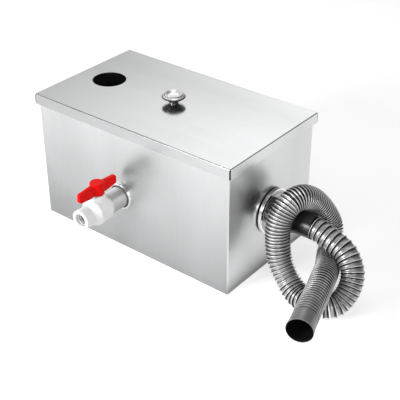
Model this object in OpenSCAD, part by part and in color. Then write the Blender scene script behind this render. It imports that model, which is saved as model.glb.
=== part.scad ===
// Countertop grease trap: stainless tank, loose lid, ball valve and waste hose.
// Millimetres, +Z up. The origin is the middle of the tank footprint on the floor.
// +X points to the outlet end, -Y to the side with the drain valve.

/* [Tank] */
// Outside length of the tank body
tank_length = 344; // [310:1:420]
// Outside width of the tank body
tank_width = 195; // [170:1:260]
// Height of the tank body without the lid
tank_height = 200; // [180:1:260]
// Thickness of the stainless sheet
sheet = 1; // [0.8:0.1:1.5]
// Outside radius of the tank corners
fold_r = 2.5; // [2:0.5:5]
// Depth of the flattened hem along the rim
hem_depth = 10; // [6:1:14]

/* [Lid] */
// Loose fit between the rim and the lid skirt, each side
lid_clear = 2; // [1:0.5:4]
// Height of the lid skirt with the sheet
lid_skirt = 16; // [12:1:25]
// Inside radius of the skirt folds
lid_bend = 0.5; // [0.3:0.1:2]
// Diameter of the inlet hole
inlet_d = 50; // [30:1:60]
// Distance of the inlet hole from the left end of the tank
inlet_from_end = 48; // [44:1:70]

/* [Knob] */
// Largest diameter of the knob
knob_d = 34; // [24:1:44]
// Height of the knob above the lid
knob_height = 14.5; // [12:0.5:26]
// Diameter of the knob neck
knob_neck_d = 11; // [9:0.5:16]
// Depth of the dish in the knob top
knob_dish = 3.5; // [1:0.5:5]
// Diameter of the knob screw
knob_screw_d = 5; // [4:0.5:6]

/* [Inside] */
// Length of the inlet chamber
inlet_chamber_length = 120; // [112:1:130]
// Length of the outlet chamber
outlet_chamber_length = 90; // [60:1:100]
// Height of the inlet weir
weir_height = 60; // [30:1:70]
// Gap below the outlet partition
underflow_gap = 30; // [15:1:50]
// Width of the welding flanges on the partitions
weld_flange = 12; // [8:1:14]
// Width of the basket ledges
ledge = 10; // [8:1:14]
// Depth of the basket
basket_depth = 95; // [60:1:110]
// Length of the basket body
basket_length = 92; // [70:1:94]
// Play between the basket and its surroundings
basket_clear = 1.5; // [1:0.5:4]
// Diameter of the basket holes
basket_hole_d = 7; // [4:0.5:9]
// Distance between the basket holes
basket_hole_pitch = 18; // [14:0.5:24]
// Overhang of the basket rim at its two ends
basket_lip = 3; // [2:0.5:4]
// Thickness of the basket strap
strap_t = 1.5; // [1:0.1:2]
// Length of the strap legs below the basket rim
strap_leg = 18; // [10:1:30]

/* [Outlet] */
// Height of the outlet axis above the floor
outlet_z = 90; // [80:1:110]
// Diameter of the outlet flange
outlet_flange_d = 67; // [58:1:76]
// Thickness of the outlet flange
outlet_flange_t = 5; // [3:0.5:8]
// Diameter of the outlet bore
outlet_bore_d = 24; // [16:1:26]
// Thickness of the outlet gasket
gasket_t = 1.5; // [1:0.5:3]
// Length of the outlet cuff
cuff_length = 59.5; // [45:0.5:80]
// Outside diameter of the hose
hose_d = 34; // [30:0.5:35]
// Wall of the hose
hose_wall = 2.2; // [1.5:0.1:3]
// Length of the hose end cuff
end_cuff_length = 25; // [15:1:40]

/* [Drain] */
// Distance of the drain from the left end of the tank
drain_from_end = 154; // [150:1:170]
// Height of the drain axis above the floor
drain_z = 87; // [70:1:100]
// Diameter of the ring round the drain
ring_d = 41.6; // [40:0.2:46]
// Diameter of the drain socket
socket_d = 31; // [30:0.5:34]
// Length of the drain socket
socket_length = 30.5; // [26:0.5:40]

/* [Valve] */
// Diameter of the ball
ball_d = 24; // [23:0.5:25]
// Waterway through the valve
water_d = 14; // [10:0.5:14]
// Largest diameter of the valve housing
housing_d = 39.4; // [38:0.2:42]
// Diameter of the threaded outlet end
valve_end_d = 28.7; // [26:0.1:32]
// Thread diameter of the valve outlet
thread_d = 18.6; // [16:0.2:20]
// Length of the threaded outlet end
valve_end_length = 21; // [18:0.5:30]
// Diameter of the bonnet
bonnet_d = 22; // [20:0.5:26]
// Height of the bonnet above the housing
bonnet_rise = 6.3; // [5:0.1:9]
// Length of the butterfly handle
handle_length = 72; // [50:1:76]
// Thickness of the handle wings
wing_t = 6; // [4:0.5:8]
// Height of the handle
handle_height = 18; // [16:0.5:22]

/* [Fits] */
// Running play of the valve stem, on the radius
run_clear = 0.05; // [0.02:0.01:0.1]
// Play between plain round pieces that are pushed together, on the radius
slip_clear = 0.15; // [0.1:0.05:0.3]
// Free space round the ball and below the handle
free_clear = 0.4; // [0.3:0.1:0.6]

/* [Hidden] */
fine = 96;
round_fn = 64;
hole_fn = 24;
edge_fn = 40;
// How far cutting tools reach past what they cut
over = 1;

sheet_grey = [0.72, 0.73, 0.74];
inner_grey = [0.70, 0.71, 0.72];
ledge_grey = [0.68, 0.69, 0.70];
lid_grey = [0.75, 0.76, 0.77];
bolt_grey = [0.66, 0.67, 0.68];
rubber_black = [0.14, 0.14, 0.14];
seat_white = [0.97, 0.97, 0.95];

half_l = tank_length / 2;
half_w = tank_width / 2;
inner_l = tank_length - 2 * sheet;
inner_w = tank_width - 2 * sheet;
fold_in = max(fold_r - sheet, 0.4);

lid_l = tank_length + 2 * (2 * sheet + lid_clear);
lid_w = tank_width + 2 * (2 * sheet + lid_clear);
lid_top = tank_height + sheet;
lid_r = lid_bend + sheet;
lid_flat_l = lid_l - 2 * lid_r;
lid_flat_w = lid_w - 2 * lid_r;
inlet_x = -half_l + inlet_from_end;

weir_x = -half_l + sheet + inlet_chamber_length;
weir_corner_gap = 0.2;
under_x = half_l - sheet - outlet_chamber_length;
under_drop = 15;
under_top = tank_height - under_drop;
under_corner = 4;
basket_drop = 50;
basket_rim_z = tank_height - basket_drop;
basket_end_gap = 5;
basket_x0 = -half_l + sheet + basket_end_gap;
basket_w = inner_w - 2 * (ledge + basket_clear);
basket_rim_w = basket_w + 2 * (ledge - basket_clear);
ledge_end_gap = 0.5;
ledge_x0 = -half_l + sheet + fold_in + ledge_end_gap;
ledge_spare = 10;
ledge_length = basket_length + ledge_spare;
strap_w = 14;
strap_rise = 20;

knob_r = knob_d / 2;
screw_r = knob_screw_d / 2;
screw_cover = 4;
screw_longest = 9;
screw_reach = min(knob_height - knob_dish - screw_cover, screw_longest);
screw_head_t = 2.6;
washer_t = 1;
washer_w = 4;

wall_x = half_l;
out_wall = 4.5;
out_thread_r = outlet_bore_d / 2 + out_wall;
out_hub_step = 2.5;
out_hub_r = hose_d / 2 + out_hub_step;
out_hub_len = 6;
spigot_r = hose_d / 2 - hose_wall - slip_clear;
spigot_len = 34;
spigot_wall = 2;
out_bore_r = min(outlet_bore_d / 2, spigot_r - spigot_wall);
hub_x = wall_x + gasket_t + outlet_flange_t;
cuff_x = hub_x + out_hub_len;
cuff_end_x = cuff_x + cuff_length;
nut_t = 8;
thread_spare = 3;
thread_inside = sheet + gasket_t + nut_t + thread_spare;
out_washer_w = 8;
out_nut_w = 9;

drain_x = -half_l + drain_from_end;
drain_thread_r = 13;
drain_washer_w = 5;
drain_nut_w = 6.5;
tail_thread_r = 10.3;
tail_thread_length = 16;
tail_thread_room = 2;
ball_r = ball_d / 2;
seat_clear = 0.1;
cavity_gap = 0.9;
cavity_r = ball_r + cavity_gap;
tail_flange_t = 1.5;
tail_plug = 2.5;
body_s0 = socket_length + tail_flange_t;
ball_s = body_s0 + tail_plug + ball_r;
cavity_s1 = ball_s + ball_r;
body_web = 3;
valve_end_s = cavity_s1 + body_web;
body_s1 = valve_end_s + valve_end_length;
thread_stop = 4;
thread_depth = valve_end_length - thread_stop;
water_r = water_d / 2;
housing_r = housing_d / 2;
bonnet_least = 7;
bonnet_top = max(housing_r + bonnet_rise, cavity_r + bonnet_least);
stem_r = 5;
stem_groove_z = (cavity_r + bonnet_top) / 2;
stem_groove_h = 2;
stem_groove_depth = 1.8;
drive = 6.4;
drive_length = handle_height - 7;
drive_room = 0.9;
blade_t = 3;
slot_depth = 3.5;
slot_floor = ball_r - slot_depth;
handle_z0 = bonnet_top + free_clear;

// Route of the hose middle line from the end of the outlet cuff, x and y from there, z from the floor
hose_route = [
    [0, 0, outlet_z], [26, -2, 84], [51, -4, 74], [68, -12, 57], [73.5, -24.5, 39.5],
    [69.5, -39.5, 24], [58.5, -53.3, 18.2], [36, -60, 18.2], [12.8, -56, 19], [-7.7, -50, 31],
    [-24.4, -44.5, 51], [-32.3, -40, 76], [-35.5, -34.4, 102], [-32.7, -20.3, 121.3], [-27.3, 1.2, 126.3],
    [-21.6, 24.6, 114], [-12.6, 42.2, 89.7], [-4, 50, 65], [5, 39, 47], [17, 14, 42],
    [32.5, -15.7, 46], [46, -50, 53], [57, -82, 54], [65, -109, 55], [72, -131, 55]
];
// Length of the lead that sets the first bend
hose_lead = 26;
hose_steps = 3;
hose_sides = 12;
hose_last = len(hose_route) - 1;
hose_end_dir = unit(hose_route[hose_last] - hose_route[hose_last - 1]);

function unit(v) = v / norm(v);

function route_point(i) =
    i < 0 ? hose_route[0] - [hose_lead, 0, 0] :
    i > hose_last ? 2 * hose_route[hose_last] - hose_route[hose_last - 1] :
    hose_route[i];

function curve(a, b, c, d, t) =
    0.5 * (2 * b + (c - a) * t + (2 * a - 5 * b + 4 * c - d) * t * t + (3 * b - a - 3 * c + d) * t * t * t);

function slope(a, b, c, d, t) =
    0.5 * ((c - a) + 2 * (2 * a - 5 * b + 4 * c - d) * t + 3 * (3 * b - a - 3 * c + d) * t * t);

function hose_points() = [
    for (i = [0 : hose_last - 1], k = [0 : hose_steps - 1])
        curve(route_point(i - 1), route_point(i), route_point(i + 1), route_point(i + 2), k / hose_steps),
    hose_route[hose_last]
];

function hose_slopes() = [
    [1, 0, 0],
    for (i = [0 : hose_last - 1], k = [0 : hose_steps - 1])
        if (i + k > 0)
            unit(slope(
                route_point(i - 1), route_point(i), route_point(i + 1), route_point(i + 2), k / hose_steps)),
    hose_end_dir
];

function carry(t, i, n) =
    i == len(t) ? [] :
    let (m = unit(n - (n * t[i]) * t[i])) concat([m], carry(t, i + 1, m));

function ring(p, t, n, r) =
    let (b = cross(t, n))
    [for (k = [0 : hose_sides - 1]) p + r * (cos(360 * k / hose_sides) * n + sin(360 * k / hose_sides) * b)];

module plan(l, w, r) {
    square([l - 2 * r, w], center = true);
    square([l, w - 2 * r], center = true);
    for (sx = [-1, 1], sy = [-1, 1])
        translate([sx * (l / 2 - r), sy * (w / 2 - r)]) circle(r, $fn = 48);
}

module elevation(s, h, r) {
    translate([-s / 2, r]) square([s, h - r]);
    translate([-s / 2 + r, 0]) square([s - 2 * r, h]);
    for (k = [-1, 1]) translate([k * (s / 2 - r), r]) circle(r, $fn = 48);
}

module tub(l, w, h, r) {
    intersection() {
        linear_extrude(h) plan(l, w, r);
        rotate([90, 0, 90]) translate([0, 0, -l / 2 - over])
            linear_extrude(l + 2 * over) elevation(w, h + over, r);
        rotate([90, 0, 0]) translate([0, 0, -w / 2 - over])
            linear_extrude(w + 2 * over) elevation(l, h + over, r);
    }
}

// Turned piece on the outlet axis: profile x is the radius, y the distance from the wall
module on_outlet() {
    translate([wall_x, 0, outlet_z]) rotate([0, 90, 0]) rotate_extrude($fn = fine) children();
}

// Turned piece on the drain axis: profile x is the radius, y the distance from the wall
module on_drain() {
    translate([drain_x, -half_w, drain_z]) rotate([90, 0, 0]) rotate_extrude($fn = fine) children();
}

module at_ball() {
    translate([drain_x, -half_w - ball_s, drain_z]) children();
}

module band(r0, r1, s0, s1) {
    translate([r0, s0]) square([r1 - r0, s1 - s0]);
}

module tank_shell() {
    color(sheet_grey)
    difference() {
        union() {
            tub(tank_length, tank_width, tank_height, fold_r);
            translate([0, 0, tank_height - hem_depth]) linear_extrude(hem_depth)
                plan(tank_length + 2 * sheet, tank_width + 2 * sheet, fold_r + sheet);
        }
        translate([0, 0, sheet]) tub(inner_l, inner_w, tank_height + over, fold_in);
        translate([half_l - sheet - over, 0, outlet_z]) rotate([0, 90, 0])
            cylinder(r = out_thread_r + slip_clear, h = sheet + 2 * over, $fn = fine);
        translate([drain_x, -half_w + sheet + over, drain_z]) rotate([90, 0, 0])
            cylinder(r = drain_thread_r + slip_clear, h = sheet + 2 * over, $fn = fine);
    }
}

// Partition sheet with two flanges that are welded to the side walls
module partition(x, side, z0, z1, corner) {
    w = inner_w / 2;
    translate([x, 0, 0]) {
        rotate([90, 0, 90]) linear_extrude(sheet)
            polygon([[corner - w, z0], [w - corner, z0], [w, z0 + corner],
                [w, z1], [-w, z1], [-w, z0 + corner]]);
        for (y = [-w, w - sheet])
            translate([side < 0 ? -weld_flange : 0, y, z0 + corner])
                cube([weld_flange + sheet, sheet, z1 - z0 - corner]);
    }
}

module inlet_weir() {
    color(inner_grey) partition(weir_x, -1, sheet, weir_height, fold_in + weir_corner_gap);
}

module outlet_partition() {
    color(inner_grey) partition(under_x, 1, underflow_gap, under_top, under_corner);
}

module ledge_angle() {
    translate([ledge_x0, -inner_w / 2, basket_rim_z]) rotate([90, 0, 90]) linear_extrude(ledge_length) {
        translate([0, -sheet]) square([ledge, sheet]);
        translate([0, -ledge]) square([sheet, ledge]);
    }
}

module ledge_front() {
    color(ledge_grey) ledge_angle();
}

module ledge_back() {
    color(ledge_grey) mirror([0, 1, 0]) ledge_angle();
}

module filter_basket() {
    edge = 2 * basket_hole_d;
    across = floor((basket_w - edge) / basket_hole_pitch);
    along = floor((basket_length - edge) / basket_hole_pitch);
    down = floor((basket_depth - basket_hole_d - edge) / basket_hole_pitch);
    color([0.74, 0.75, 0.76])
    translate([basket_x0 + basket_length / 2, 0, basket_rim_z])
    difference() {
        union() {
            translate([-basket_length / 2, -basket_w / 2, -basket_depth])
                cube([basket_length, basket_w, basket_depth + sheet]);
            translate([-basket_length / 2 - basket_lip, -basket_rim_w / 2, 0])
                cube([basket_length + 2 * basket_lip, basket_rim_w, sheet]);
        }
        translate([-basket_length / 2 + sheet, -basket_w / 2 + sheet, -basket_depth + sheet])
            cube([basket_length - 2 * sheet, basket_w - 2 * sheet, 2 * basket_depth]);
        for (i = [0 : along - 1]) translate([(i - (along - 1) / 2) * basket_hole_pitch, 0, -basket_depth]) {
            for (j = [0 : across - 1])
                translate([0, (j - (across - 1) / 2) * basket_hole_pitch, -sheet])
                    cylinder(d = basket_hole_d, h = 3 * sheet, $fn = hole_fn);
            for (j = [0 : down - 1])
                translate([0, basket_w, edge + j * basket_hole_pitch]) rotate([90, 0, 0])
                    cylinder(d = basket_hole_d, h = 2 * basket_w, $fn = hole_fn);
        }
    }
}

module basket_strap() {
    run = basket_w - 2 * sheet;
    color([0.76, 0.77, 0.78])
    translate([basket_x0 + basket_length / 2 - strap_w / 2, 0, basket_rim_z])
    rotate([90, 0, 90]) linear_extrude(strap_w) {
        translate([-run / 2, strap_rise - strap_t]) square([run, strap_t]);
        for (y = [-run / 2, run / 2 - strap_t])
            translate([y, -strap_leg]) square([strap_t, strap_leg + strap_rise]);
    }
}

// One skirt: quarter fold and straight leg, x outwards and y up from the fold centre
module skirt_profile() {
    difference() {
        intersection() {
            circle(lid_r, $fn = 48);
            square(lid_r + over);
        }
        circle(lid_bend, $fn = 48);
    }
    translate([lid_bend, lid_r - lid_skirt]) square([sheet, lid_skirt - lid_r]);
}

// Top sheet of the lid, up to the middle lines of its folds
module lid() {
    color(lid_grey)
    difference() {
        translate([-lid_flat_l / 2, -lid_flat_w / 2, tank_height])
            cube([lid_flat_l, lid_flat_w, sheet]);
        translate([inlet_x, 0, tank_height - sheet])
            cylinder(d = inlet_d, h = 3 * sheet, $fn = fine);
        translate([0, 0, tank_height - sheet])
            cylinder(r = screw_r + slip_clear, h = 3 * sheet, $fn = round_fn);
    }
}

module long_skirt() {
    translate([-lid_flat_l / 2, -lid_flat_w / 2, lid_top - lid_r]) mirror([0, 1, 0]) rotate([90, 0, 90])
        linear_extrude(lid_flat_l) skirt_profile();
}

module short_skirt() {
    translate([lid_flat_l / 2, lid_flat_w / 2, lid_top - lid_r]) rotate([90, 0, 0])
        linear_extrude(lid_flat_w) skirt_profile();
}

module lid_skirt_front() {
    color(lid_grey) long_skirt();
}

module lid_skirt_back() {
    color(lid_grey) mirror([0, 1, 0]) long_skirt();
}

module lid_skirt_right() {
    color(lid_grey) short_skirt();
}

module lid_skirt_left() {
    color(lid_grey) mirror([1, 0, 0]) short_skirt();
}

module lid_knob() {
    neck_r = knob_neck_d / 2;
    foot = 0.8;
    rim = 1.2;
    rim_z = 0.67 * knob_height;
    top_r = 0.74 * knob_r;
    dish_r = top_r - 1.2;
    screw_room = 0.6;
    color([0.85, 0.86, 0.87])
    translate([0, 0, lid_top]) rotate_extrude($fn = fine) difference() {
        union() {
            polygon([[0, 0], [neck_r + foot, 0], [neck_r + foot, foot], [neck_r, 2 * foot],
                [neck_r, 0.2 * knob_height], [neck_r + rim, 0.31 * knob_height],
                [0.62 * knob_r, 0.47 * knob_height],
                [knob_r - 0.55 * rim, rim_z - 0.85 * rim], [knob_r - 0.4 * rim, rim_z + 0.75 * rim],
                [top_r + 0.3, knob_height - 0.2], [top_r - 0.4, knob_height], [0, knob_height]]);
            translate([knob_r - rim, rim_z]) circle(rim, $fn = edge_fn);
        }
        polygon([[0, knob_height + over], [dish_r, knob_height + over], [dish_r, knob_height],
            [0.55 * knob_r, knob_height - 0.6 * knob_dish], [0.4 * knob_r, knob_height - knob_dish],
            [0, knob_height - knob_dish]]);
        square([screw_r + slip_clear, screw_reach + screw_room]);
    }
}

module knob_washer() {
    color([0.62, 0.63, 0.64])
    translate([0, 0, tank_height - washer_t]) difference() {
        cylinder(r = screw_r + washer_w, h = washer_t, $fn = round_fn);
        translate([0, 0, -over])
            cylinder(r = screw_r + slip_clear, h = washer_t + 2 * over, $fn = round_fn);
    }
}

// Screw with a low head and a cross recess
module knob_screw() {
    head_r = screw_r + 2.2;
    head_edge = 0.8;
    cross_length = 4.4;
    cross_w = 1;
    cross_depth = 1.5;
    color(bolt_grey)
    translate([0, 0, tank_height - washer_t]) difference() {
        union() {
            cylinder(r = screw_r, h = washer_t + sheet + screw_reach, $fn = round_fn);
            translate([0, 0, -screw_head_t]) rotate_extrude($fn = round_fn)
                polygon([[0, 0], [head_r - head_edge, 0], [head_r, head_edge], [head_r, screw_head_t],
                    [0, screw_head_t]]);
        }
        for (a = [0, 90]) rotate([0, 0, a])
            translate([-cross_length / 2, -cross_w / 2, -screw_head_t - over])
                cube([cross_length, cross_w, cross_depth + over]);
    }
}

module outlet_gasket() {
    inset = 3;
    color(rubber_black)
    on_outlet() band(out_thread_r + slip_clear, outlet_flange_d / 2 - inset, 0, gasket_t);
}

// Threaded tail, round-edged flange with a groove, hub and hose spigot
module outlet_fitting() {
    flange_r = outlet_flange_d / 2;
    face = gasket_t + outlet_flange_t;
    tip = face + out_hub_len + spigot_len;
    rim = outlet_flange_t / 5;
    color([0.83, 0.84, 0.85]) on_outlet() difference() {
        union() {
            band(0, out_thread_r, -thread_inside, face);
            band(0, flange_r, gasket_t + rim, face - rim);
            band(0, flange_r - rim, gasket_t, face);
            for (s = [gasket_t + rim, face - rim])
                translate([flange_r - rim, s]) circle(rim, $fn = edge_fn);
            band(0, out_hub_r, face - rim, face + out_hub_len);
            band(0, spigot_r, face, tip);
        }
        band(0, out_bore_r, -thread_inside - over, tip + over);
        translate([flange_r - 6 * rim, face]) circle(0.6 * rim, $fn = edge_fn);
    }
}

module outlet_washer() {
    color(rubber_black)
    on_outlet() band(out_thread_r + slip_clear, out_thread_r + out_washer_w, -sheet - gasket_t, -sheet);
}

module hex_nut(r_in, r_out, t) {
    difference() {
        cylinder(r = r_out, h = t, $fn = 6);
        translate([0, 0, -over]) cylinder(r = r_in + slip_clear, h = t + 2 * over, $fn = fine);
    }
}

module outlet_nut() {
    color(bolt_grey)
    translate([wall_x - sheet - gasket_t - nut_t, 0, outlet_z]) rotate([0, 90, 0])
        hex_nut(out_thread_r, out_thread_r + out_nut_w, nut_t);
}

module outlet_cuff() {
    s0 = gasket_t + outlet_flange_t + out_hub_len;
    s1 = s0 + cuff_length;
    r = hose_d / 2;
    thick = r + 1.6;
    edge = 0.6;
    color([0.10, 0.10, 0.11]) on_outlet() difference() {
        polygon([[0, s0], [thick - edge, s0], [thick, s0 + edge], [thick, s0 + 0.5 * cuff_length],
            [thick - 0.4, s0 + 0.54 * cuff_length], [r + 0.2, s0 + 0.6 * cuff_length],
            [r, s0 + 0.64 * cuff_length], [r, s1], [0, s1]]);
        band(0, spigot_r + slip_clear, s0 - over, s1 + over);
    }
}

module waste_hose() {
    p = hose_points();
    t = hose_slopes();
    n = carry(t, 0, [0, 0, 1]);
    m = hose_sides;
    w = 2 * m;
    last = len(p) - 1;
    pts = [for (i = [0 : last]) each concat(
        ring(p[i], t[i], n[i], hose_d / 2), ring(p[i], t[i], n[i], hose_d / 2 - hose_wall))];
    walls = [for (i = [0 : last - 1], k = [0 : m - 1]) let (
        a = i * w + k, b = i * w + (k + 1) % m) each [
        [a, b, b + w], [a, b + w, a + w],
        [a + m, b + m + w, b + m], [a + m, a + m + w, b + m + w]]];
    ends = [for (a = [0 : m - 1]) let (
        b = (a + 1) % m, c = last * w + a, d = last * w + b) each [
        [a, a + m, b + m], [a, b + m, b],
        [c, d, d + m], [c, d + m, c + m]]];
    color([0.55, 0.56, 0.57])
    translate([cuff_end_x, 0, 0]) polyhedron(points = pts, faces = concat(walls, ends), convexity = 10);
}

module hose_end_cuff() {
    r = hose_d / 2;
    wide = r + 1.2;
    stop = 4;
    d = hose_end_dir;
    color([0.45, 0.46, 0.47])
    translate(hose_route[hose_last] + [cuff_end_x, 0, 0]) rotate([0, acos(d[2]), atan2(d[1], d[0])])
        rotate_extrude($fn = fine)
            polygon([[r - hose_wall, 0], [r + 0.2, 0], [wide, 0.3 * end_cuff_length],
                [wide, end_cuff_length], [r, end_cuff_length], [r, stop], [r - hose_wall, stop]]);
}

// Flat ring with a groove between it and the socket
module drain_ring() {
    bore_r = socket_d / 2 + slip_clear;
    groove_r = socket_d / 2 + 1.5;
    ring_r = ring_d / 2;
    bevel = min(1.2, (ring_r - groove_r) / 3);
    floor_t = 1;
    edge = 0.4;
    face = 3.9;
    color([0.84, 0.85, 0.86]) on_drain()
        polygon([[bore_r, 0], [ring_r - edge / 2, 0], [ring_r, edge], [ring_r, face - 1.3],
            [ring_r - 0.4 * bevel, face - 0.5], [ring_r - bevel, face - 0.2], [groove_r + 0.6, face],
            [groove_r + 0.15, face - 0.3], [groove_r, face - 0.9], [groove_r, floor_t], [bore_r, floor_t]]);
}

module drain_socket() {
    edge = 0.8;
    bore_r = water_r + 0.8;
    color(inner_grey) on_drain() difference() {
        union() {
            band(0, socket_d / 2, 0, socket_length - edge);
            band(0, socket_d / 2 - edge, 0, socket_length);
            band(0, drain_thread_r, -thread_inside, over);
        }
        band(0, bore_r, -thread_inside - over, socket_length + over);
        band(0, tail_thread_r + slip_clear, socket_length - tail_thread_length - tail_thread_room,
            socket_length + over);
    }
}

module drain_washer() {
    color(rubber_black)
    on_drain() band(drain_thread_r + slip_clear, drain_thread_r + drain_washer_w, -sheet - gasket_t, -sheet);
}

module drain_nut() {
    color(bolt_grey)
    translate([drain_x, -half_w + sheet + gasket_t + nut_t, drain_z]) rotate([90, 0, 0])
        hex_nut(drain_thread_r, drain_thread_r + drain_nut_w, nut_t);
}

// Thread into the socket, flange and plug that closes the ball chamber
module valve_tail() {
    flange_inset = 0.3;
    color([0.93, 0.93, 0.92]) on_drain() difference() {
        union() {
            band(0, tail_thread_r, socket_length - tail_thread_length, body_s0);
            band(0, socket_d / 2 - flange_inset, socket_length, body_s0);
            band(0, cavity_r - slip_clear, socket_length, body_s0 + tail_plug);
        }
        square([water_r, body_s1]);
    }
}

// Moulded housing: round belly, cone down to the outlet end, bonnet on top
module valve_body() {
    soft = 4;
    edge = 0.8;
    end_r = valve_end_d / 2;
    belly_s0 = body_s0 + 2 + soft;
    belly_s1 = valve_end_s - 1 - soft;
    cone_s1 = valve_end_s + 5.5;
    color([0.95, 0.95, 0.94])
    difference() {
        union() {
            on_drain() {
                band(0, end_r, valve_end_s, body_s1 - edge);
                band(0, end_r - edge, valve_end_s, body_s1);
                translate([end_r - edge, body_s1 - edge]) circle(edge, $fn = edge_fn);
                band(0, housing_r, belly_s0, belly_s1);
                band(0, housing_r - soft, body_s0, valve_end_s + 1);
                for (s = [belly_s0, belly_s1])
                    translate([housing_r - soft, s]) circle(soft, $fn = edge_fn);
                polygon([[0, valve_end_s - soft], [housing_r - 1.2, valve_end_s - 2.2],
                    [end_r + 1, cone_s1 - 1.9], [end_r, cone_s1], [0, cone_s1]]);
            }
            at_ball() cylinder(d = bonnet_d, h = bonnet_top, $fn = fine);
        }
        on_drain() {
            band(0, cavity_r, body_s0 - over, cavity_s1);
            band(0, water_r, cavity_s1 - over, body_s1);
            band(0, thread_d / 2, body_s1 - thread_depth, body_s1 + over);
        }
        at_ball() cylinder(r = stem_r + run_clear, h = bonnet_top + over, $fn = round_fn);
    }
}

// Ring with a hollow face that follows the ball
module seat(side) {
    thick = 0.38 * ball_r;
    difference() {
        at_ball() rotate([90, 0, 0]) difference() {
            translate([0, 0, side > 0 ? ball_r - thick : -ball_r])
                cylinder(r = cavity_r - seat_clear, h = thick, $fn = fine);
            translate([0, 0, -2 * ball_r]) cylinder(r = water_r, h = 4 * ball_r, $fn = round_fn);
        }
        at_ball() sphere(r = ball_r + seat_clear, $fn = fine);
    }
}

module seat_rear() {
    color(seat_white) seat(-1);
}

module seat_front() {
    color(seat_white) seat(1);
}

module valve_ball() {
    color([0.90, 0.90, 0.89]) at_ball() difference() {
        sphere(r = ball_r, $fn = fine);
        rotate([90, 0, 0]) cylinder(r = water_r, h = 4 * ball_r, center = true, $fn = round_fn);
        translate([-ball_d, -blade_t / 2 - slip_clear, slot_floor])
            cube([2 * ball_d, blade_t + 2 * slip_clear, ball_r]);
    }
}

// Blade in the ball's slot, round shaft with a ring groove, square drive
module valve_stem() {
    low = ball_r + 0.2;
    blade_r = stem_r - 0.4;
    color([0.88, 0.88, 0.87]) at_ball() difference() {
        union() {
            translate([-blade_r, -blade_t / 2, slot_floor + slip_clear])
                cube([2 * blade_r, blade_t, low - slot_floor + over]);
            translate([0, 0, low]) cylinder(r = stem_r, h = bonnet_top - low, $fn = round_fn);
            translate([-drive / 2, -drive / 2, bonnet_top - over])
                cube([drive, drive, drive_length + over]);
        }
        translate([0, 0, stem_groove_z - stem_groove_h / 2]) difference() {
            cylinder(r = stem_r + over, h = stem_groove_h, $fn = round_fn);
            translate([0, 0, -over])
                cylinder(r = stem_r - stem_groove_depth, h = stem_groove_h + 2 * over, $fn = round_fn);
        }
    }
}

module stem_ring() {
    ring_r = 0.85;
    color([0.10, 0.10, 0.10]) at_ball() translate([0, 0, stem_groove_z]) rotate_extrude($fn = round_fn)
        translate([stem_r - stem_groove_depth / 2, 0]) circle(ring_r, $fn = hole_fn);
}

// Round hub with a square socket and two upright wings that reach down past the bonnet
module valve_handle() {
    hub_r = bonnet_d / 2 - 1;
    hub_edge = 1.5;
    drop_r = bonnet_d / 2 + free_clear + 0.6;
    drop = 2;
    top = handle_height - 1.8;
    tip = handle_length / 2;
    tip_top = 0.8 * handle_height;
    tip_low = 0.2;
    top_r = 4;
    low_r = 3;
    socket = drive + 2 * slip_clear;
    color([0.85, 0.07, 0.06]) at_ball() translate([0, 0, handle_z0]) difference() {
        union() {
            rotate_extrude($fn = fine) {
                band(0, hub_r, 0, handle_height - hub_edge);
                band(0, hub_r - hub_edge, 0, handle_height);
                translate([hub_r - hub_edge, handle_height - hub_edge]) circle(hub_edge, $fn = edge_fn);
            }
            for (k = [0, 1]) mirror([0, k, 0])
                rotate([90, 0, 90]) translate([0, 0, -wing_t / 2]) linear_extrude(wing_t) {
                    polygon([[0, 0], [drop_r, 0], [drop_r, -drop], [tip - low_r, tip_low],
                        [tip, tip_low + low_r], [tip, tip_top - top_r], [tip - top_r, tip_top],
                        [hub_r, top], [0, top]]);
                    translate([tip - low_r, tip_low + low_r]) circle(low_r, $fn = edge_fn);
                    translate([tip - top_r, tip_top - top_r]) circle(top_r, $fn = edge_fn);
                }
        }
        translate([-socket / 2, -socket / 2, -over])
            cube([socket, socket, over + drive_length - free_clear + drive_room]);
    }
}

tank_shell();
inlet_weir();
outlet_partition();
ledge_front();
ledge_back();
filter_basket();
basket_strap();
lid();
lid_skirt_front();
lid_skirt_back();
lid_skirt_right();
lid_skirt_left();
lid_knob();
knob_washer();
knob_screw();
outlet_gasket();
outlet_fitting();
outlet_washer();
outlet_nut();
outlet_cuff();
waste_hose();
hose_end_cuff();
drain_ring();
drain_socket();
drain_washer();
drain_nut();
valve_tail();
valve_body();
seat_rear();
seat_front();
valve_ball();
valve_stem();
stem_ring();
valve_handle();
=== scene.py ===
import bisect
import bpy
import bmesh
import math
from mathutils import Matrix, Vector


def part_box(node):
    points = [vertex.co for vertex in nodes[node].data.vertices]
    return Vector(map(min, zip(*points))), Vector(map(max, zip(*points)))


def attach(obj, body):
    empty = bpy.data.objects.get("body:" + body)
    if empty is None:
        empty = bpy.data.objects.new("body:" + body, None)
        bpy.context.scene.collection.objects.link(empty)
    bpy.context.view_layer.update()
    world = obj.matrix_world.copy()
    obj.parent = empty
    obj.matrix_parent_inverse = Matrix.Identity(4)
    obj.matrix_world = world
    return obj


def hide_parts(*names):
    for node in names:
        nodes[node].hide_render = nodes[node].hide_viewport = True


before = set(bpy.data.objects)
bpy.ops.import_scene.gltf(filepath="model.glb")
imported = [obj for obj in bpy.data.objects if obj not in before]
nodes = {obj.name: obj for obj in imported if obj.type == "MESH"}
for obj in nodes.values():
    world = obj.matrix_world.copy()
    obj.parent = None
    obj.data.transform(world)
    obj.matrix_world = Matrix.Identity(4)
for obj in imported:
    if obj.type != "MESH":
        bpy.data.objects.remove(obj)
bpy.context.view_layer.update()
scene = bpy.context.scene
mm = 0.001
print("frame loaded", len(nodes), "nodes")


# Camera at the photograph's angle

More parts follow.
